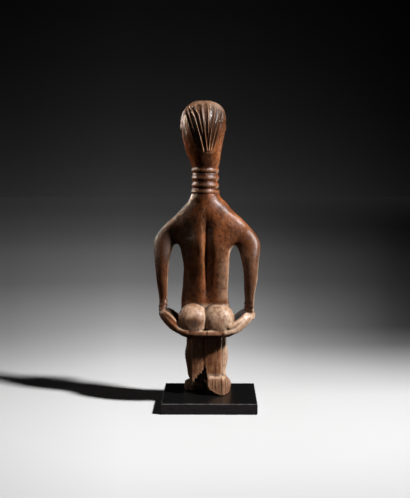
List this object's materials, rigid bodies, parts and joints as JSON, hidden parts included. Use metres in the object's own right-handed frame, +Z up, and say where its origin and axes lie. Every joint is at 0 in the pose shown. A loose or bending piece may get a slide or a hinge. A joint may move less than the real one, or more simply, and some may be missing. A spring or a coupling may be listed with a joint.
{
  "type": "carved standing figure",
  "caption": "Bidjogo female figure: a wooden woman with ribbed hair and ringed neck, hands holding the rim of a short flared skirt, on a square plinth",
  "frame": {"origin": "centre of the plinth's underside", "axes": "+Z up; the figure faces -Y and its left hand is on the +X side; the plinth's sides lie along X and Y"},
  "size_m": [0.133, 0.116, 0.3778],
  "materials": {
    "carved_wood": "dark reddish-brown carved wood with a handled sheen and paler worn places",
    "black_plinth": "satin black painted wood"
  },
  "bodies": {
    "root": {"figure": "carved_wood", "plinth": "black_plinth"}
  },
  "joints": []
}
